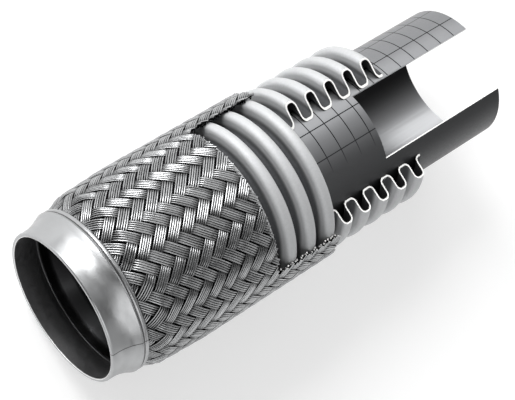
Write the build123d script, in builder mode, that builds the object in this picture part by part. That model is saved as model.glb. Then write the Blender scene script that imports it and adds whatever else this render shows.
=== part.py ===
from build123d import *
import os
from math import atan2, cos, degrees, radians, sin

# Exhaust flex pipe, cut open in steps so that its layers show.
# Millimetres. +X runs along the pipe from the rim of the inlet neck, and +Z is up.
# Angles round the pipe grow from +Z towards -Y.
# It lies on its braid with the cut-away sector uppermost.

# Inlet collar: a neck that slips on the exhaust tube, and a skirt over the layers
BORE = 60.0
COLLAR_WALL = 1.5
NECK_LENGTH = 8.0
FLARE_LENGTH = 3.6
SKIRT_STEP = 2.7
SKIRT_LENGTH = 3.6

# Play between sheets that lie inside each other, and how far they narrow behind the skirt
SEAT = 0.1
TAPER_LENGTH = 6.0

# Outer braid: a woven wall whose strands show as floats, hipped ridges that lean one way
# in one lane and the other way in the next
BRAID_WALL = 0.6
BRAID_CLEARANCE = 0.5
BRAID_GRIP = 3.2
BULGE_LENGTH = 6.5
SETTLE_LENGTH = 20.0
BULGE_SHARE = 0.72
BRAID_END = 107.0
LANES = 34
FIRST_LANE = -5.2
FLOAT_SPACING = 6.6
FIRST_FLOAT = -0.2
FLOAT_HEIGHT = 0.85
FLOAT_RELIEF = 0.7

# Bellows
CREST_DIAMETER = 71.6
BELLOWS_WALL = 0.6
ROOT_CLEARANCE = 0.2
PITCH = 9.8
CONVOLUTIONS = 12
FIRST_CREST = 44.0
CREST_WIDTH = 5.2
FOOT_LENGTH = 1.8

# Liner
LINER_DIAMETER = 57.6
LINER_WALL = 0.8
LINER_END = 203.6

# Cut-away steps: where each begins along the pipe, and its two edges in degrees
BRAID_CUT = 74.6
BRAID_EDGES = (-60.0, 57.7)
WHOLE_CONVOLUTIONS = 7
BELLOWS_ROOT_EDGES = (-25.0, 48.0)
BELLOWS_CREST_EDGES = (-39.5, 57.0)
LINER_CUT = 139.5
LINER_EDGES = (-24.5, 33.7)

# The edges and the lanes are counted from the middle of the view. With this turn about
# the axis the pipe lies on the floats of one lane, with its weight above them.
REST_TURN = -5.4

# Radii that follow from the sizes above
neck_r = BORE / 2 + COLLAR_WALL
skirt_r = neck_r + SKIRT_STEP
skirt_start = NECK_LENGTH + FLARE_LENGTH
collar_length = skirt_start + SKIRT_LENGTH
crest_r = CREST_DIAMETER / 2
liner_r = LINER_DIAMETER / 2
root_r = liner_r + ROOT_CLEARANCE + BELLOWS_WALL
braid_r = crest_r + BRAID_CLEARANCE + BRAID_WALL
braid_end_r = skirt_r - COLLAR_WALL - SEAT
cuff_r = braid_end_r - BRAID_WALL - SEAT
flare_r = cuff_r - BELLOWS_WALL - SEAT
layers_start = collar_length - BRAID_GRIP
taper_end = collar_length + TAPER_LENGTH
last_crest = FIRST_CREST + (CONVOLUTIONS - 1) * PITCH
bellows_end = last_crest + CREST_WIDTH / 2 + FOOT_LENGTH
reach = LINER_END
bulge_r = braid_end_r + (braid_r - braid_end_r) * BULGE_SHARE
bulge_x = collar_length + BULGE_LENGTH
settled_x = bulge_x + SETTLE_LENGTH
lane_width = radians(360 / LANES) * braid_r
float_lean = degrees(atan2(lane_width, FLOAT_SPACING))
float_width = FLOAT_SPACING * sin(radians(float_lean))


def around(radius, degrees):
    """Point of a circle about the pipe's axis, in the local frame of Plane.YZ."""
    turn = radians(degrees + REST_TURN)
    return Vector(-radius * sin(turn), radius * cos(turn))


def opening(start, inner, outer, inner_r, outer_r):
    """Removes what lies between two cut faces, from start along the pipe.

    Each cut face is flat. It runs through the angle in inner at inner_r
    and through the angle in outer at outer_r.
    """
    corners = []
    for near, far in zip(inner, outer):
        low = around(inner_r, near)
        high = around(outer_r, far)
        slope = (high - low).normalized()
        corners.append((low - slope * inner_r / 6, low + slope * reach))
    (low_a, high_a), (low_b, high_b) = corners
    with BuildSketch(Plane.YZ.offset(start)) as gap:
        with BuildLine():
            Polyline(
                low_a,
                high_a,
                (high_a.X, 2 * reach),
                (high_b.X, 2 * reach),
                high_b,
                low_b,
                close=True,
            )
        make_face()
    extrude(gap.sketch, amount=LINER_END, mode=Mode.SUBTRACT)


def hipped_float():
    """One float along X, its crest line FLOAT_HEIGHT above Z = 0, sunk into the wall below."""
    depth = FLOAT_HEIGHT + BRAID_WALL * 0.9
    half = float_width / 2 * depth / FLOAT_RELIEF
    end = float_width / 2 + half
    bottom = FLOAT_HEIGHT - depth
    with BuildPart() as ridge:
        with BuildSketch(Plane.XZ) as side_view:
            Polygon(
                (-end, bottom),
                (end, bottom),
                (end - half, FLOAT_HEIGHT),
                (half - end, FLOAT_HEIGHT),
                align=None,
            )
        extrude(amount=half, both=True)
        with BuildSketch(Plane.YZ) as end_view:
            Polygon((-half, bottom), (half, bottom), (0, FLOAT_HEIGHT), align=None)
        extrude(amount=end, both=True, mode=Mode.INTERSECT)
    return ridge.part


def braid_floats():
    """Every float of the weave, laid on the wall where it has bulged out."""
    strand = hipped_float()
    settling = degrees(atan2(braid_r - bulge_r, SETTLE_LENGTH))
    laid = []
    for lane in range(LANES):
        turn = FIRST_LANE + REST_TURN + lane * 360 / LANES
        lean = float_lean if lane % 2 == 0 else -float_lean
        x = FIRST_FLOAT + FLOAT_SPACING / 2 * (lane % 2)
        while x < BRAID_END + FLOAT_SPACING / 2:
            share = min(1, (x - bulge_x) / SETTLE_LENGTH)
            if share * SETTLE_LENGTH > FLOAT_SPACING / 2:
                tilt = -settling if share < 1 else 0
                seat = Pos(x, 0, bulge_r + share * (braid_r - bulge_r))
                laid.append(Rot(turn, 0, 0) * seat * Rot(0, tilt, 0) * Rot(0, 0, lean) * strand)
            x += FLOAT_SPACING
    return laid


# Collar: one sheet, drawn out into a step
with BuildPart() as end_collar:
    with BuildSketch(Plane.XZ):
        with BuildLine():
            Polyline(
                (0, neck_r),
                (NECK_LENGTH, neck_r),
                (skirt_start, skirt_r),
                (collar_length, skirt_r),
            )
            offset(amount=COLLAR_WALL, side=Side.RIGHT, kind=Kind.INTERSECTION)
        make_face()
    revolve(axis=Axis.X)
end_collar.part.label = "end_collar"

# Braid: gripped under the skirt, it bulges out and then runs straight over the bellows
with BuildPart() as outer_braid:
    with BuildSketch(Plane.XZ):
        with BuildLine():
            Polyline(
                (layers_start, braid_end_r),
                (collar_length, braid_end_r),
                (bulge_x, bulge_r),
                (settled_x, braid_r),
                (BRAID_END, braid_r),
            )
            offset(amount=BRAID_WALL, side=Side.RIGHT, kind=Kind.INTERSECTION)
        make_face()
    revolve(axis=Axis.X)
    add(braid_floats())
    with BuildSketch(Plane.YZ.offset(BRAID_END)) as past_the_end:
        Circle(2 * braid_r)
    extrude(past_the_end.sketch, amount=2 * FLOAT_SPACING, mode=Mode.SUBTRACT)
    opening(BRAID_CUT, BRAID_EDGES, BRAID_EDGES, crest_r / 2, crest_r)
outer_braid.part.label = "outer_braid"

# Bellows: a thin tube folded into even convolutions, with its cuff under the braid
with BuildPart() as bellows:
    folds = [(layers_start, cuff_r), (collar_length, cuff_r), (taper_end, root_r)]
    for number in range(CONVOLUTIONS):
        rise = FIRST_CREST + number * PITCH - CREST_WIDTH / 2
        fall = rise + CREST_WIDTH
        folds += [(rise, root_r), (rise, crest_r), (fall, crest_r), (fall, root_r)]
    folds.append((bellows_end, root_r))
    with BuildSketch(Plane.XZ):
        with BuildLine():
            Polyline(*folds)
            offset(amount=BELLOWS_WALL, side=Side.RIGHT, kind=Kind.INTERSECTION)
        make_face()
    revolve(axis=Axis.X)
    opened_root = FIRST_CREST + (WHOLE_CONVOLUTIONS - 0.5) * PITCH
    opening(opened_root, BELLOWS_ROOT_EDGES, BELLOWS_CREST_EDGES, liner_r, crest_r)
bellows.part.label = "bellows"

# Liner: a smooth tube inside, opened out at the collar to the bore of the neck
with BuildPart() as liner:
    with BuildSketch(Plane.XZ):
        with BuildLine():
            Polyline(
                (layers_start, flare_r),
                (collar_length, flare_r),
                (taper_end, liner_r),
                (LINER_END, liner_r),
            )
            offset(amount=LINER_WALL, side=Side.RIGHT, kind=Kind.INTERSECTION)
        make_face()
    revolve(axis=Axis.X)
    opening(LINER_CUT, LINER_EDGES, LINER_EDGES, liner_r / 2, liner_r)
liner.part.label = "liner"

os.makedirs("parts", exist_ok=True)
export_step(end_collar.part, "parts/end_collar.step")
export_step(outer_braid.part, "parts/outer_braid.step")
export_step(bellows.part, "parts/bellows.step")
export_step(liner.part, "parts/liner.step")
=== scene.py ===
"""Dressed model of a cut-open exhaust flex pipe: collar, wire braid, bellows and liner.

Sizes are in millimetres and turned to metres where they go into Blender. +X runs along
the pipe from the inlet rim. Angles are in degrees and grow from +Z towards -Y.
"""

import math
import random

import bmesh
import bpy
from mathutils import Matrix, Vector


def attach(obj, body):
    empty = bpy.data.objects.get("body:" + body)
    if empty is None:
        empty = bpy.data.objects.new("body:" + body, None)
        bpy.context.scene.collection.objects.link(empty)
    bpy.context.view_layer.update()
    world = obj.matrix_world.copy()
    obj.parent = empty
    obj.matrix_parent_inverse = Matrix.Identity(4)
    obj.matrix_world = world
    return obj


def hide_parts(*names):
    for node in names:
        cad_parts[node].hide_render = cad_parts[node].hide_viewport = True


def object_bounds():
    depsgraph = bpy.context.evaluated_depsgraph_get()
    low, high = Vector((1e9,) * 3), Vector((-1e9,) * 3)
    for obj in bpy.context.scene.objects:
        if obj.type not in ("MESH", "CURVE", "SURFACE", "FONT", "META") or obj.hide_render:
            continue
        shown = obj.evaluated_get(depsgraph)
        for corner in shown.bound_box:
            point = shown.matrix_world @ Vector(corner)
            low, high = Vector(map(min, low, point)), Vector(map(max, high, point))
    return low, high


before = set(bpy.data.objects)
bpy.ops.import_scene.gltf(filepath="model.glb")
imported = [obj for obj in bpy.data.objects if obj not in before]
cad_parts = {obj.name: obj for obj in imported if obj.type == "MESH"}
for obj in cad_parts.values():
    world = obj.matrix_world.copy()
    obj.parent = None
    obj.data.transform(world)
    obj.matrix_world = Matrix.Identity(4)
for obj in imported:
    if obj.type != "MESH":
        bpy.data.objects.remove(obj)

MM = 0.001
cad_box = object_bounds()

# The cut-away edges and the lanes of the weave are counted from the middle of the view,
# and the pipe has come to rest turned by this much about its axis.
REST_TURN = -5.4

# Collar, from its rim: neck, flare, skirt, groove, bead and rolled lip
COLLAR_WALL = 1.5
NECK_RADIUS = 31.5
NECK_OPENING = 0.1
RIM_ROUNDING = 0.7
BORE_ROUNDING = 0.3
FLARE_START = 6.8
FLARE_ROUNDING = 3.4
FLARE_END = 10.8
FLARE_END_DROP = 0.5
SHOULDER_ROUNDING = 1.2
SKIRT_START = 11.9
SKIRT_RADIUS = 34.2
SKIRT_ROUNDING = 0.4
GROOVE = 12.9
GROOVE_DEPTH = 0.5
GROOVE_ROUNDING = 0.2
BEAD_START = 13.4
BEAD_START_ROUNDING = 0.25
BEAD_END = 14.4
BEAD_END_ROUNDING = 0.3
SKIRT_END = 15.2
LIP_ROLL = 0.9

# Dark lines on the collar: the neck's seam, and painted shade in the groove and at the fold of the
# lip
SEAM_ANGLE = 49.5
SEAM_WIDTH = 0.4
GROOVE_SHADE_WIDTH = 0.4
LIP_FOLD_SHADE = BEAD_END + 0.4
LIP_FOLD_SHADE_WIDTH = 0.3

# Sheets that lie inside each other: their walls and the play between them, how long the
# skirt holds them, and how they narrow behind it
BRAID_WALL = 0.6
BELLOWS_WALL = 0.6
LINER_WALL = 0.8
SEAT = 0.1
BRAID_GRIP = 3.2
TAPER_LENGTH = 6.0
TAPER_ROUNDING = 1.0
LAYERS_START = SKIRT_END - BRAID_GRIP
TAPER_END = SKIRT_END + TAPER_LENGTH
CUFF_RADIUS = SKIRT_RADIUS - COLLAR_WALL - BRAID_WALL - 2 * SEAT
FLARE_RADIUS = CUFF_RADIUS - BELLOWS_WALL - SEAT

# Liner
LINER_RADIUS = 28.8
LINER_END = 203.6
LINER_OPEN_FROM = 139.5
LINER_EDGES = (-24.5, 33.7)
GRID_RING_SPACING = 7.53
GRID_FIRST_RING = 113.7
GRID_LINES_AROUND = 15
GRID_FIRST_LINE = -17.0
GRID_LINE_WIDTH = 0.42

# Painted shade outside and inside: the middle of each in degrees, how far off it the
# shade begins and is full, and its depth
SHADED_SIDE = 70.0
SHADED_SIDE_REACH = (75, 15)
SIDE_SHADE_DEPTH = 0.75
INNER_SHADE_SIDE = -125.0
INNER_SHADE_REACH = (85, 30)
INNER_SHADE_END = 140.0
INNER_SHADE_FULL_TO = 90.0
INNER_SHADE_DEPTH = 0.92

# Bellows, and the painted shade in its grooves by the radius where it begins and is full
ROOT_CLEARANCE = 0.2
ROOT_RADIUS = LINER_RADIUS + ROOT_CLEARANCE + BELLOWS_WALL
ROOT_ROUNDING = 1.3
CREST_RADIUS = 35.8
CREST_ROUNDING = 2.1
PITCH = 9.8
CONVOLUTIONS = 12
FIRST_CREST = 44.0
CREST_WIDTH = 5.2
FOOT_LENGTH = 2.4
WHOLE_CONVOLUTIONS = 7
BELLOWS_OPEN_FROM = FIRST_CREST + (WHOLE_CONVOLUTIONS - 0.5) * PITCH
BELLOWS_ROOT_EDGES = (-25.0, 48.0)
BELLOWS_CREST_EDGES = (-39.5, 57.0)
GROOVE_SHADE_FROM_RADIUS = 32.8
GROOVE_SHADE_FULL_RADIUS = 29.8

# Braid. The middle of its wall is given by points of x and radius: gripped by the skirt,
# bulging out and then straight.
GRIPPED_RADIUS = SKIRT_RADIUS - COLLAR_WALL - SEAT - BRAID_WALL / 2
BRAID_MIDDLE = [
    (LAYERS_START, GRIPPED_RADIUS),
    (SKIRT_END, GRIPPED_RADIUS),
    (18.5, 34.2),
    (22.0, 35.7),
    (42.0, 36.8),
]
BRAID_START = LAYERS_START + 0.5
BRAID_OPEN_FROM = 74.6
BRAID_EDGES = (-60.0, 57.7)
BRAID_END = 107.0
BRAID_RADIUS = 37.1
LANES = 34
LANE_SPACING = 360 / LANES
FIRST_LANE = -5.2
FLOAT_SPACING = 6.6
FIRST_FLOAT = -0.2

# Strands: how far they rise over and dip under the wall, how flat they run on top, how
# much higher the middle of one is than its edges and how much of that crown is sunk into
# the strand, and the space between two
WEAVE_RISE = 0.38
WEAVE_FLATNESS = 2.4
STRAND_CROWN = 0.22
CROWN_LEVEL = 0.6
STRAND_GAP = 0.5

# Wires. Real ones are 0.3 mm thick and 8 to 12 in a strand. They are drawn coarser and
# fewer, so that they show and the braid stays under the limit of triangles. A wire runs
# through this many stations in each repeat of the weave, from a margin before the braid
# to one past it, strays by its plays, and has a tone between two.
WIRES_IN_STRAND = 5
WIRE_DIAMETER = 0.74
WIRE_STATIONS = 14
WIRE_SIDES = 8
WIRE_MARGIN = 8.0
SIDE_PLAY = 0.03
LIFT_PLAY = 0.05
WIRE_TONES = (0.6, 1.0)
DICE_SEED = 7

# How unevenly the cut wires end: at the opening's two edges in degrees, where the opening
# starts, and at the braid's far end
EDGE_RAG = 1.0
OPENING_RAG = 0.3
END_RAG = 0.5

# Painted shade on the wires: a wire is dark up to this height over the wall and free of the shade
# one span above that
SHADE_HEIGHT = 0.26
SHADE_FADE_SPAN = 0.36

# Fineness of the turned sheets, the angle past which an edge stays sharp, and how near a
# point lies to a place to count as on it
STEPS_AROUND = 144
ARC_SEGMENTS = 4
RIM_SEGMENTS = 3
SHEET_CREASE = 35
WIRE_CREASE = 70
NEAR = 0.05

# Grain of the steels: how fine its noise is, the range that it mostly keeps to, and how
# deep its relief is
GRAIN_DETAIL = 3.0
GRAIN_ROUGHNESS = 0.6
GRAIN_RANGE = (0.3, 0.7)
GRAIN_DEPTH = 0.05

# Material slots of a sheet
SKIN, EDGE, INSIDE = 0, 1, 2

# Lamps: the side that each shines from, its size in metres and its power in watts
LAMPS = {
    "key": ((-0.15, 0.76, 0.63), 0.45, 8),
    "upper_fill": ((-0.35, 0.85, 0.4), 0.7, 2),
    "side_light": ((0.45, 0.75, 0.48), 0.7, 2.2),
    "end_light": ((0.9, -0.2, 0.35), 0.5, 1),
    "low_fill": ((0.35, -0.85, 0.4), 0.8, 1),
    "ring_fill": ((-0.5, -0.6, 0.6), 0.9, 4.2),
}
LAMP_DISTANCE = 1.0
LIT_POINT = (90.0, 0.0, 0.0)

# World: the side where it is brightest, how its light rises towards that side, and its
# darkest and lightest level
SKY_SIDE = (0.45, 0.75, 0.48)
SKY_FADE = (0.05, 0.95)
SKY_LEVELS = (0.05, 0.65)

# Floor: its size and its middle along X in metres, and how much whiter it looks than its
# paint alone, where 1 is white
FLOOR_SIZE = 6.0
FLOOR_MIDDLE = 0.1
FLOOR_LIFT = 0.45

# Camera, fitted to the rims and outlines of the drawing: its place, and its turn in degrees
CAMERA_PLACE = (-200.96, 53.68, 567.84)
CAMERA_TURN = (9.793, -26.189, -32.372)
SENSOR_WIDTH = 36
LENS = 113.44
CLIP_START = 10

# Sizes of the weave that follow from those above
lane_width = math.radians(LANE_SPACING) * BRAID_RADIUS
lean = math.atan2(lane_width, FLOAT_SPACING)
strand_pitch = FLOAT_SPACING * math.sin(lean)
weave_period = 4 * strand_pitch
wire_pitch = (strand_pitch - STRAND_GAP) / WIRES_IN_STRAND


def linear(hex_colour):
    """An sRGB hex colour as linear RGBA."""
    channels = [int(hex_colour[i : i + 2], 16) / 255 for i in (1, 3, 5)]
    return [c / 12.92 if c < 0.04045 else ((c + 0.055) / 1.055) ** 2.4 for c in channels] + [1]


def around(radius, degrees):
    """Point of a circle about the pipe's axis, in millimetres."""
    turn = math.radians(degrees + REST_TURN)
    return Vector((0, -radius * math.sin(turn), radius * math.cos(turn)))


def add_node(owner, kind, inputs=None, **settings):
    """Adds a node. An input is given a value, or is linked where an output socket is given."""
    made = owner.node_tree.nodes.new(kind)
    for setting, value in settings.items():
        setattr(made, setting, value)
    for socket, value in (inputs or {}).items():
        if isinstance(value, bpy.types.NodeSocket):
            owner.node_tree.links.new(value, made.inputs[socket])
        else:
            made.inputs[socket].default_value = value
    return made


def empty_material(name):
    """A material with no nodes yet."""
    material = bpy.data.materials.new(name)
    material.use_nodes = True
    material.node_tree.nodes.clear()
    return material


def steel(name, colour, roughness, grain, bump=0.1, spread=0.1, marks=None, marked=None):
    """Steel whose grain is a noise as long along X, Y and Z as given in millimetres.

    Where marks, a function that gives an output from 0 to 1, is given, the colour goes
    to marked with it.
    """
    material = empty_material(name)
    place = add_node(material, "ShaderNodeTexCoord")
    scales = [1 / (size * MM) for size in grain]
    grain_place = add_node(
        material, "ShaderNodeMapping", {"Vector": place.outputs["Object"], "Scale": scales}
    )
    noise = add_node(
        material,
        "ShaderNodeTexNoise",
        {
            "Vector": grain_place.outputs["Vector"],
            "Scale": 1.0,
            "Detail": GRAIN_DETAIL,
            "Roughness": GRAIN_ROUGHNESS,
        },
    )
    rough = add_node(
        material,
        "ShaderNodeMapRange",
        {
            "Value": noise.outputs["Fac"],
            "From Min": GRAIN_RANGE[0],
            "From Max": GRAIN_RANGE[1],
            "To Min": roughness - spread / 2,
            "To Max": roughness + spread / 2,
        },
    )
    relief = add_node(
        material,
        "ShaderNodeBump",
        {"Height": noise.outputs["Fac"], "Strength": bump, "Distance": GRAIN_DEPTH * MM},
    )
    base_colour = linear(colour)
    if marks:
        # The Mix node has a set of sockets for each type: 6, 7 and output 2 are the colours.
        blend = add_node(
            material,
            "ShaderNodeMix",
            {"Factor": marks(material), 6: linear(colour), 7: linear(marked)},
            data_type="RGBA",
        )
        base_colour = blend.outputs[2]
    shader = add_node(
        material,
        "ShaderNodeBsdfPrincipled",
        {
            "Base Color": base_colour,
            "Metallic": 1.0,
            "Roughness": rough.outputs["Result"],
            "Normal": relief.outputs["Normal"],
        },
    )
    add_node(material, "ShaderNodeOutputMaterial", {"Surface": shader.outputs["BSDF"]})
    return material


def place_on_pipe(material):
    """Outputs: x along the pipe, the angle round it and the distance from its axis."""
    place = add_node(material, "ShaderNodeTexCoord")
    split = add_node(material, "ShaderNodeSeparateXYZ", {"Vector": place.outputs["Object"]})
    minus_y = add_node(
        material, "ShaderNodeMath", {0: split.outputs["Y"], 1: -1.0}, operation="MULTIPLY"
    )
    turn = add_node(
        material,
        "ShaderNodeMath",
        {0: minus_y.outputs[0], 1: split.outputs["Z"]},
        operation="ARCTAN2",
    )
    flat = add_node(
        material,
        "ShaderNodeVectorMath",
        {0: place.outputs["Object"], 1: (0, 1, 1)},
        operation="MULTIPLY",
    )
    radius = add_node(
        material, "ShaderNodeVectorMath", {0: flat.outputs["Vector"]}, operation="LENGTH"
    )
    return split.outputs["X"], turn.outputs[0], radius.outputs["Value"]


def collar_seam_and_shade_lines(material):
    """The neck's seam, ground flush, as a dark line, and painted shade as dark lines in the groove
    and at the fold of the lip.
    """
    x, turn, _ = place_on_pipe(material)
    lines = [
        (turn, math.radians(SEAM_ANGLE + REST_TURN), SEAM_WIDTH / NECK_RADIUS),
        (x, GROOVE * MM, GROOVE_SHADE_WIDTH * MM),
        (x, LIP_FOLD_SHADE * MM, LIP_FOLD_SHADE_WIDTH * MM),
    ]
    drawn = 0.0
    for value, middle, width in lines:
        line = add_node(
            material, "ShaderNodeMath", {0: value, 1: middle, 2: width / 2}, operation="COMPARE"
        )
        both = add_node(
            material, "ShaderNodeMath", {0: line.outputs[0], 1: drawn}, operation="MAXIMUM"
        )
        drawn = both.outputs[0]
    return drawn


def painted_groove_shade(material):
    """Painted shade that darkens the grooves towards their roots, while the crests keep the bright
    steel.
    """
    _, _, radius = place_on_pipe(material)
    groove_shade = add_node(
        material,
        "ShaderNodeMapRange",
        {"Value": radius, "From Min": GROOVE_SHADE_FROM_RADIUS * MM, "From Max": GROOVE_SHADE_FULL_RADIUS * MM},
        interpolation_type="SMOOTHSTEP",
    )
    return groove_shade.outputs["Result"]


def one_side(material, turn, middle, reach):
    """A smooth rise to 1 on one side of the pipe.

    reach holds how far off its middle, in degrees, the rise begins and is complete.
    """
    off = add_node(
        material,
        "ShaderNodeMath",
        {0: turn, 1: math.radians(middle + REST_TURN)},
        operation="SUBTRACT",
    )
    toward = add_node(material, "ShaderNodeMath", {0: off.outputs[0]}, operation="COSINE")
    begins, complete = [math.cos(math.radians(width)) for width in reach]
    rise = add_node(
        material,
        "ShaderNodeMapRange",
        {"Value": toward.outputs[0], "From Min": begins, "From Max": complete},
        interpolation_type="SMOOTHSTEP",
    )
    return rise.outputs["Result"]


def painted_inner_shade(material):
    """Painted shade on the inside: deep from the inlet to the middle, and on along one side."""
    x, turn, _ = place_on_pipe(material)
    near_inlet = add_node(
        material,
        "ShaderNodeMapRange",
        {
            "Value": x,
            "From Min": INNER_SHADE_END * MM,
            "From Max": INNER_SHADE_FULL_TO * MM,
            "To Max": INNER_SHADE_DEPTH,
        },
        interpolation_type="SMOOTHSTEP",
    )
    along_side = one_side(material, turn, INNER_SHADE_SIDE, INNER_SHADE_REACH)
    both = add_node(
        material,
        "ShaderNodeMath",
        {0: near_inlet.outputs["Result"], 1: along_side},
        operation="MAXIMUM",
    )
    return both.outputs[0]


def repeated_lines(material, value, first, spacing, width):
    """1 on lines of the given width, one at first and one each spacing on from it."""
    from_first = add_node(
        material, "ShaderNodeMath", {0: value, 1: first - spacing / 2}, operation="SUBTRACT"
    )
    share = add_node(
        material,
        "ShaderNodeMath",
        {0: from_first.outputs[0], 1: spacing},
        operation="FLOORED_MODULO",
    )
    line = add_node(
        material,
        "ShaderNodeMath",
        {0: share.outputs[0], 1: spacing / 2, 2: width / 2},
        operation="COMPARE",
    )
    return line.outputs[0]


def scored_grid_and_side_shade(material):
    """The grid scored in the liner, 7.5 mm by 12 mm, and painted shade that darkens one side and
    hides the grid there.
    """
    x, turn, _ = place_on_pipe(material)
    rings = repeated_lines(
        material, x, GRID_FIRST_RING * MM, GRID_RING_SPACING * MM, GRID_LINE_WIDTH * MM
    )
    lines = repeated_lines(
        material,
        turn,
        math.radians(GRID_FIRST_LINE + REST_TURN),
        2 * math.pi / GRID_LINES_AROUND,
        GRID_LINE_WIDTH / LINER_RADIUS,
    )
    grid = add_node(material, "ShaderNodeMath", {0: rings, 1: lines}, operation="MAXIMUM")
    side_shaded = one_side(material, turn, SHADED_SIDE, SHADED_SIDE_REACH)
    side_shade = add_node(material, "ShaderNodeMath", {0: side_shaded, 1: SIDE_SHADE_DEPTH}, operation="MULTIPLY")
    clean = add_node(material, "ShaderNodeMath", {0: 1.0, 1: side_shaded}, operation="SUBTRACT")
    shown = add_node(
        material, "ShaderNodeMath", {0: grid.outputs[0], 1: clean.outputs[0]}, operation="MULTIPLY"
    )
    both = add_node(
        material, "ShaderNodeMath", {0: shown.outputs[0], 1: side_shade.outputs[0]}, operation="MAXIMUM"
    )
    return both.outputs[0]


def painted_dive_shade(material):
    """Painted shade: 0 on top of the weave and 1 where a wire dives under, and in between for duller
    wires.
    """
    painted_shade_and_tone = add_node(material, "ShaderNodeAttribute", attribute_name="painted_shade_and_tone")
    under = add_node(
        material, "ShaderNodeMath", {0: 1.0, 1: painted_shade_and_tone.outputs["Fac"]}, operation="SUBTRACT"
    )
    return under.outputs[0]


def matt_paint(name, colour):
    """Paint with no grain that shows at this size."""
    material = empty_material(name)
    paint = add_node(
        material, "ShaderNodeBsdfPrincipled", {"Base Color": linear(colour), "Roughness": 0.6}
    )
    add_node(material, "ShaderNodeOutputMaterial", {"Surface": paint.outputs["BSDF"]})
    return material


# Drawn stainless sheet. The die and handling leave it satin, with soft lights that are
# broken into cloudy patches some 3 mm long and 8 mm wide round the pipe.
# Its marks are the seam's dark line and painted shade in the groove and at the lip's fold.
collar_satin = steel(
    "drawn_stainless_satin",
    "#ACADAE",
    roughness=0.36,
    grain=(3, 8, 8),
    bump=1.0,
    spread=0.16,
    marks=collar_seam_and_shade_lines,
    marked="#5A5A5B",
)
# The inner corner of the rim, ground after cutting: a thin, bright and even line of light
ground_edge = steel(
    "ground_stainless_edge", "#E6E6E6", roughness=0.5, grain=(2.5, 2.5, 2.5), bump=0.05
)
# Matt white paint, brushed on the cut edges of a sectioned specimen: they stand out as
# flat white lines with no shine
edge_paint = matt_paint("matt_white_edge_paint", "#F4F4F2")
# Stainless sheet on the inside, darkened as painted shade: dark and almost without
# shine, a little uneven in patches of scale 2 mm wide
inside_painted_shade = steel(
    "stainless_inside_painted_shade", "#666667", roughness=0.6, grain=(2, 2, 2), bump=0.6, spread=0.2
)
# Hydroformed stainless: an even, pearly light, bright on the crests, with painted shade
# that darkens the grooves. Forming leaves a fine orange peel of 0.1 mm, drawn 0.9 mm wide so that it
# shows.
formed_steel = steel(
    "hydroformed_stainless",
    "#D0D1D2",
    roughness=0.78,
    grain=(0.9, 0.9, 0.9),
    bump=0.15,
    marks=painted_groove_shade,
    marked="#5A5B5D",
)
# Bright drawn wire: thin sharp glints along each wire, which come and go every 1.6 mm
# with the wire's small bends. Where a wire dives under, its colour goes near black as painted shade.
braid_wire = steel(
    "bright_drawn_wire",
    "#B4B5B6",
    roughness=0.25,
    grain=(1.6, 1.6, 1.6),
    spread=0.12,
    marks=painted_dive_shade,
    marked="#0E0E0F",
)
# Rolled steel, dull grey outside, with a grid of thin black scored lines and painted shade
# that darkens one side. The grain of the rolls is 0.1 mm, drawn 0.9 mm wide so that it shows.
liner_skin = steel(
    "rolled_steel_scored",
    "#8C8D8F",
    roughness=0.42,
    grain=(0.9, 0.9, 0.9),
    bump=0.12,
    marks=scored_grid_and_side_shade,
    marked="#101011",
)
# Rolled steel inside: smooth, with a broad light streaked along the pipe, and near black where
# painted shade lies. The rolls' lines are 0.1 mm apart, drawn 1.2 mm apart so that they show.
liner_inside = steel(
    "rolled_steel_inner_shade",
    "#B9BABC",
    roughness=0.36,
    grain=(40, 1.2, 1.2),
    marks=painted_inner_shade,
    marked="#272728",
)


def select_only(piece):
    """Selects one object and nothing else."""
    bpy.ops.object.select_all(action="DESELECT")
    bpy.context.view_layer.objects.active = piece
    piece.select_set(True)


def drawn_line(name, points):
    """A new piece, left in edit mode: one line drawn from point to point."""
    bpy.ops.object.select_all(action="DESELECT")
    bpy.ops.mesh.primitive_plane_add(size=MM, location=(0, 0, 0))
    piece = bpy.context.object
    piece.name = piece.data.name = name
    bpy.ops.object.mode_set(mode="EDIT")
    bpy.ops.mesh.select_mode(type="VERT")
    bpy.ops.mesh.select_all(action="SELECT")
    bpy.ops.mesh.merge(type="CENTER")
    bpy.ops.transform.translate(value=points[0] * MM)
    for last, here in zip(points, points[1:]):
        bpy.ops.mesh.extrude_vertices_move(TRANSFORM_OT_translate={"value": (here - last) * MM})
    return piece


def turned_shell(name, profile):
    """A profile of (x, radius, rounding), drawn point by point, rounded and spun."""
    points = [Vector((x, 0, radius)) for x, radius, rounding in profile]
    piece = drawn_line(name, points)
    for corner, (x, radius, rounding) in zip(points, profile):
        if not rounding:
            continue
        wire = bmesh.from_edit_mesh(piece.data)
        for point in wire.verts:
            point.select = (point.co / MM - corner).length < NEAR
        bmesh.update_edit_mesh(piece.data)
        bpy.ops.mesh.bevel(affect="VERTICES", offset=rounding * MM, segments=ARC_SEGMENTS)
    bpy.ops.mesh.select_all(action="SELECT")
    bpy.ops.mesh.spin(steps=STEPS_AROUND, angle=2 * math.pi, center=(0, 0, 0), axis=(1, 0, 0))
    bpy.ops.mesh.select_all(action="SELECT")
    bpy.ops.mesh.remove_doubles(threshold=0.001 * MM)
    bpy.ops.mesh.normals_make_consistent(inside=False)
    bpy.ops.object.mode_set(mode="OBJECT")
    return piece


def give_wall(piece, thickness, materials):
    """Thickens the shell inwards. The materials are for its skin, its edges and its inside."""
    for material in materials:
        piece.data.materials.append(material)
    select_only(piece)
    wall = piece.modifiers.new("wall", "SOLIDIFY")
    wall.thickness = thickness * MM
    wall.offset = -1
    wall.use_even_offset = True
    wall.material_offset_rim = EDGE
    wall.material_offset = INSIDE
    bpy.ops.object.modifier_apply(modifier=wall.name)
    bpy.ops.object.shade_smooth_by_angle(angle=math.radians(SHEET_CREASE))


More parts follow.
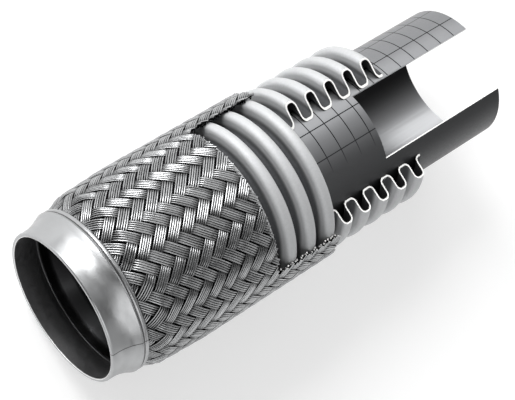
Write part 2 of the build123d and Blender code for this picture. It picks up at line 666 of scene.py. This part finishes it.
def cut_open(piece, start, root_edges, crest_edges, root_radius, crest_radius):
    """Cuts away what lies between two flat faces, from start on, and paints the cut.

    Each face runs through its angle in root_edges at root_radius, and through its angle
    in crest_edges at crest_radius.
    """
    far = 2 * LINER_END
    faces = []
    for root, crest in zip(root_edges, crest_edges):
        low, high = around(root_radius, root), around(crest_radius, crest)
        faces.append((low, low + (high - low).normalized() * far))
    (low_a, high_a), (low_b, high_b) = faces
    over_a, over_b = Vector((0, high_a.y, far)), Vector((0, high_b.y, far))
    outline = [low_a, high_a, over_a, over_b, high_b, low_b]
    block = drawn_line("cut_away", [Vector((start, 0, 0)) + corner for corner in outline])
    bpy.ops.mesh.select_all(action="SELECT")
    bpy.ops.mesh.edge_face_add()
    bpy.ops.mesh.extrude_region_move(TRANSFORM_OT_translate={"value": (far * MM, 0, 0)})
    bpy.ops.mesh.select_all(action="SELECT")
    bpy.ops.mesh.normals_make_consistent(inside=False)
    bpy.ops.object.mode_set(mode="OBJECT")
    for material in piece.data.materials:
        block.data.materials.append(material)
    for face in block.data.polygons:
        face.material_index = EDGE
    select_only(piece)
    cut = piece.modifiers.new("cut", "BOOLEAN")
    cut.operation = "DIFFERENCE"
    cut.solver = "EXACT"
    cut.object = block
    bpy.ops.object.modifier_apply(modifier=cut.name)
    bpy.ops.object.shade_smooth_by_angle(angle=math.radians(SHEET_CREASE))
    bpy.data.meshes.remove(block.data)


def round_rim(piece, x, radius, width, material_slot):
    """Rounds the circle at x and radius, and gives the new faces a material slot."""
    bpy.ops.object.mode_set(mode="EDIT")
    bpy.ops.mesh.select_mode(type="EDGE")
    bpy.ops.mesh.select_all(action="DESELECT")
    shape = bmesh.from_edit_mesh(piece.data)
    for edge in shape.edges:
        ends = [vert.co / MM for vert in edge.verts]
        edge.select = all(
            abs(end.x - x) < NEAR and abs(math.hypot(end.y, end.z) - radius) < NEAR for end in ends
        )
    bmesh.update_edit_mesh(piece.data)
    bpy.ops.mesh.bevel(
        affect="EDGES",
        offset=width * MM,
        segments=RIM_SEGMENTS,
        material=material_slot,
        clamp_overlap=False,
    )
    bpy.ops.object.mode_set(mode="OBJECT")


def finish_piece(piece, node_name):
    """Rides the frame and stands for its CAD node."""
    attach(piece, "root")
    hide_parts(node_name)


# Collar: a neck that flares into a skirt, whose rolled lip pinches the braid
collar = turned_shell(
    "collar",
    [
        (0, NECK_RADIUS, 0),
        (FLARE_START, NECK_RADIUS + NECK_OPENING, FLARE_ROUNDING),
        (FLARE_END, SKIRT_RADIUS - FLARE_END_DROP, SHOULDER_ROUNDING),
        (SKIRT_START, SKIRT_RADIUS, SKIRT_ROUNDING),
        (GROOVE, SKIRT_RADIUS - GROOVE_DEPTH, GROOVE_ROUNDING),
        (BEAD_START, SKIRT_RADIUS, BEAD_START_ROUNDING),
        (BEAD_END, SKIRT_RADIUS, BEAD_END_ROUNDING),
        (SKIRT_END, SKIRT_RADIUS - LIP_ROLL, 0),
    ],
)
give_wall(collar, COLLAR_WALL, [collar_satin, ground_edge, inside_painted_shade])
round_rim(collar, 0, NECK_RADIUS, RIM_ROUNDING, SKIN)
round_rim(collar, 0, NECK_RADIUS - COLLAR_WALL, BORE_ROUNDING, EDGE)
for face in collar.data.polygons:
    # The flat of the rim and the lip keep the satin, and only the rim's inner corner shines.
    if face.material_index == EDGE and (face.normal.x < -0.99 or face.center.x > FLARE_START * MM):
        face.material_index = SKIN
finish_piece(collar, "end_collar")

# Bellows: a cuff under the braid, a taper, and folds that stand on the liner
folds = [
    (LAYERS_START, CUFF_RADIUS, 0),
    (SKIRT_END, CUFF_RADIUS, TAPER_ROUNDING),
    (TAPER_END, ROOT_RADIUS, TAPER_ROUNDING),
]
for number in range(CONVOLUTIONS):
    rise = FIRST_CREST + number * PITCH - CREST_WIDTH / 2
    fall = rise + CREST_WIDTH
    folds += [
        (rise, ROOT_RADIUS, ROOT_ROUNDING),
        (rise, CREST_RADIUS, CREST_ROUNDING),
        (fall, CREST_RADIUS, CREST_ROUNDING),
        (fall, ROOT_RADIUS, ROOT_ROUNDING),
    ]
folds.append((fall + FOOT_LENGTH, ROOT_RADIUS, 0))
bellows = turned_shell("bellows_tube", folds)
give_wall(bellows, BELLOWS_WALL, [formed_steel, edge_paint, inside_painted_shade])
cut_open(
    bellows,
    BELLOWS_OPEN_FROM,
    BELLOWS_ROOT_EDGES,
    BELLOWS_CREST_EDGES,
    LINER_RADIUS,
    CREST_RADIUS,
)
finish_piece(bellows, "bellows")

# Liner: a smooth tube with a window, opened out under the collar
liner = turned_shell(
    "liner_tube",
    [
        (LAYERS_START, FLARE_RADIUS, 0),
        (SKIRT_END, FLARE_RADIUS, TAPER_ROUNDING),
        (TAPER_END, LINER_RADIUS, TAPER_ROUNDING),
        (LINER_END, LINER_RADIUS, 0),
    ],
)
give_wall(liner, LINER_WALL, [liner_skin, edge_paint, liner_inside])
cut_open(liner, LINER_OPEN_FROM, LINER_EDGES, LINER_EDGES, LINER_RADIUS / 2, LINER_RADIUS)
for face in liner.data.polygons:
    # Of the window's two long edges, only the one on the lower side of the view is painted. The
    # upper one, which faces away from the light, is left unpainted so that it reads dark: painted
    # shade.
    if face.material_index == EDGE and face.normal.y < -0.5:
        face.material_index = INSIDE
for tube in (bellows, liner):
    for face in tube.data.polygons:
        # The ends inside the collar take the inside's material: painted shade, as they lie under the
        # collar.
        if face.center.x < (LAYERS_START + NEAR) * MM:
            face.material_index = INSIDE
finish_piece(liner, "liner")


def braid_wall(x):
    """Radius of the middle of the braid at x."""
    for (x0, r0), (x1, r1) in zip(BRAID_MIDDLE, BRAID_MIDDLE[1:]):
        if x < x1:
            return r0 + (r1 - r0) * max(0.0, (x - x0) / (x1 - x0))
    return BRAID_MIDDLE[-1][1]


def wire_runs(lay, start_x, start_angle, side, lift, edges, opening, end):
    """The runs of points that are left of one wire outside the cut-away.

    The wire lies side off the middle of its strand and lift above its place in the weave.
    It is missing between the two edges from opening on, and past end.
    """
    crown = STRAND_CROWN * (1 - (2 * side / strand_pitch) ** 2 - CROWN_LEVEL)
    stations_per_mm = WIRE_STATIONS / (2 * FLOAT_SPACING)
    steps_back = int((start_x - LAYERS_START + WIRE_MARGIN) * stations_per_mm) + 2
    steps_on = int((BRAID_END - start_x + WIRE_MARGIN) * stations_per_mm) + 2
    runs = [[]]
    for step in range(-steps_back, steps_on):
        along = step * weave_period / WIRE_STATIONS
        x = start_x + along * math.cos(lean) - lay * side * math.sin(lean)
        arc = lay * along * math.sin(lean) + side * math.cos(lean)
        angle = start_angle + math.degrees(arc / BRAID_RADIUS)
        view = (angle + 180) % 360 - 180
        cut_away = x > opening and edges[0] < view < edges[1]
        if cut_away or not BRAID_START < x < end:
            runs.append([])
            continue
        wave = math.cos(2 * math.pi * along / weave_period)
        flattened = math.tanh(WEAVE_FLATNESS * wave) / math.tanh(WEAVE_FLATNESS)
        height = (WEAVE_RISE + crown) * flattened + lift
        runs[-1].append(around(braid_wall(x) + height, angle) + Vector((x, 0, 0)))
    return [run for run in runs if len(run) > 1]


def braid_strands(name, lay, half):
    """Every second strand that runs one way round, as wires that go over two and under two."""
    dice = random.Random(DICE_SEED + 2 * lay + half)
    first_lane = FIRST_LANE if lay < 0 else FIRST_LANE + LANE_SPACING
    first_float = FIRST_FLOAT if lay < 0 else FIRST_FLOAT + FLOAT_SPACING / 2
    start_x = first_float + half * FLOAT_SPACING
    curve = bpy.data.curves.new(name, "CURVE")
    curve.dimensions = "3D"
    curve.bevel_depth = WIRE_DIAMETER / 2 * MM
    curve.bevel_resolution = WIRE_SIDES // 2 - 2
    curve.use_fill_caps = True
    tones = []
    for strand in range(0, LANES, 2):
        start_angle = first_lane + strand * LANE_SPACING
        for wire in range(WIRES_IN_STRAND):
            side = (wire - (WIRES_IN_STRAND - 1) / 2) * wire_pitch
            side += dice.uniform(-SIDE_PLAY, SIDE_PLAY)
            lift = dice.uniform(-LIFT_PLAY, LIFT_PLAY)
            tone = dice.uniform(*WIRE_TONES)
            edges = [edge + dice.uniform(-EDGE_RAG, EDGE_RAG) for edge in BRAID_EDGES]
            opening = BRAID_OPEN_FROM + dice.uniform(-OPENING_RAG, OPENING_RAG)
            end = BRAID_END - abs(dice.uniform(-END_RAG, END_RAG))
            for run in wire_runs(lay, start_x, start_angle, side, lift, edges, opening, end):
                spline = curve.splines.new("POLY")
                spline.points.add(len(run) - 1)
                for point, spot in zip(spline.points, run):
                    point.co = (*(spot * MM), 1)
                spline.use_smooth = True
                tones += [tone] * len(run)
    piece = bpy.data.objects.new(name, curve)
    bpy.context.scene.collection.objects.link(piece)
    select_only(piece)
    bpy.ops.object.convert(target="MESH")
    piece = bpy.context.object
    piece.data.materials.clear()
    piece.data.materials.append(braid_wire)
    piece.data.materials.append(edge_paint)
    # The caps come first, as triangles. After them comes one ring of points for each place.
    first_ring = len(piece.data.vertices) - WIRE_SIDES * len(tones)
    # Each point keeps its wire's random tone, dimmed by painted shade the lower it lies in the
    # weave.
    painted_shade_and_tone = piece.data.attributes.new("painted_shade_and_tone", "FLOAT", "POINT")
    for vert, mark in zip(piece.data.vertices[first_ring:], painted_shade_and_tone.data[first_ring:]):
        spot = vert.co / MM
        above = math.hypot(spot.y, spot.z) - braid_wall(spot.x)
        tone = tones[(vert.index - first_ring) // WIRE_SIDES]
        mark.value = tone * min(1, max(0, (above - SHADE_HEIGHT) / SHADE_FADE_SPAN))
    for face in piece.data.polygons:
        # The caps on the lower side of the view are painted. On the upper side they stay near black,
        # as painted shade on the edge that faces away from the light.
        painted = len(face.vertices) == 3 and face.center.y < 0
        face.material_index = EDGE if painted else SKIN
    bpy.ops.object.shade_smooth_by_angle(angle=math.radians(WIRE_CREASE))
    finish_piece(piece, "outer_braid")


# Braid: two lays of strands, each in two pieces of every second strand. Its wires follow
# the formula of the weave, which can't be drawn in edit mode, so they are curves made a mesh.
for lay, side in ((-1, "left"), (1, "right")):
    for half in (0, 1):
        braid_strands(f"braid_{side}_lay_{half + 1}", lay, half)


def pale_floor(height):
    """A pale matt floor that keeps the shadow and shows white where nothing shades it."""
    material = empty_material("matt_white_floor")
    paint = add_node(material, "ShaderNodeBsdfDiffuse", {"Color": linear("#CECECE")})
    ray = add_node(material, "ShaderNodeLightPath")
    seen = 0.0
    for kind in ("Is Camera Ray", "Is Glossy Ray", "Is Transmission Ray"):
        either = add_node(
            material, "ShaderNodeMath", {0: ray.outputs[kind], 1: seen}, operation="MAXIMUM"
        )
        seen = either.outputs[0]
    strength = add_node(material, "ShaderNodeMath", {0: seen, 1: FLOOR_LIFT}, operation="MULTIPLY")
    lift = add_node(
        material, "ShaderNodeEmission", {"Color": (1, 1, 1, 1), "Strength": strength.outputs[0]}
    )
    both = add_node(material, "ShaderNodeAddShader", {0: paint.outputs[0], 1: lift.outputs[0]})
    add_node(material, "ShaderNodeOutputMaterial", {"Surface": both.outputs[0]})
    bpy.ops.object.select_all(action="DESELECT")
    bpy.ops.mesh.primitive_plane_add(size=FLOOR_SIZE, location=(FLOOR_MIDDLE, 0, height))
    floor = bpy.context.object
    floor.name = "floor"
    floor.data.materials.append(material)


def soft_sky():
    """A studio world that is brightest on one side, so that round metal shows a soft gradient."""
    world = bpy.data.worlds.new("studio")
    bpy.context.scene.world = world
    world.use_nodes = True
    world.node_tree.nodes.clear()
    place = add_node(world, "ShaderNodeTexCoord")
    toward = add_node(
        world,
        "ShaderNodeVectorMath",
        {0: place.outputs["Generated"], 1: Vector(SKY_SIDE).normalized()},
        operation="DOT_PRODUCT",
    )
    level = add_node(
        world,
        "ShaderNodeMapRange",
        {
            "Value": toward.outputs["Value"],
            "From Min": SKY_FADE[0],
            "From Max": SKY_FADE[1],
            "To Min": SKY_LEVELS[0],
            "To Max": SKY_LEVELS[1],
        },
        interpolation_type="SMOOTHSTEP",
    )
    sky = add_node(world, "ShaderNodeBackground", {"Color": level.outputs["Result"]})
    add_node(world, "ShaderNodeOutputWorld", {"Surface": sky.outputs[0]})


def soft_lamp(name, side, size, power):
    """A square soft lamp that shines from the given side on a point near the pipe's middle."""
    light = bpy.data.lights.new(name, "AREA")
    light.shape = "SQUARE"
    light.size = size
    light.energy = power
    lamp = bpy.data.objects.new(name, light)
    bpy.context.scene.collection.objects.link(lamp)
    lamp.location = Vector(LIT_POINT) * MM + Vector(side).normalized() * LAMP_DISTANCE
    lamp.rotation_mode = "QUATERNION"
    lamp.rotation_quaternion = Vector(side).to_track_quat("Z", "Y")


def place_camera():
    """The camera that sees the pipe as the drawing does."""
    camera_data = bpy.data.cameras.new("camera")
    camera = bpy.data.objects.new("camera", camera_data)
    bpy.context.scene.collection.objects.link(camera)
    camera_data.sensor_width = SENSOR_WIDTH
    camera_data.lens = LENS
    camera_data.clip_start = CLIP_START * MM
    camera.location = Vector(CAMERA_PLACE) * MM
    camera.rotation_euler = [math.radians(angle) for angle in CAMERA_TURN]
    bpy.context.scene.camera = camera


# Stage. The key stands on the upper side of the view and a little towards the inlet, so
# that one lay shines high on the braid and the other in its middle. The broad ring fill
# stands on the lower side of the view and keeps the rings light.
pale_floor(cad_box[0].z)
soft_sky()
for lamp_name, (lamp_side, lamp_size, lamp_power) in LAMPS.items():
    soft_lamp(lamp_name, lamp_side, lamp_size, lamp_power)
place_camera()

bpy.context.scene.view_settings.view_transform = "Standard"
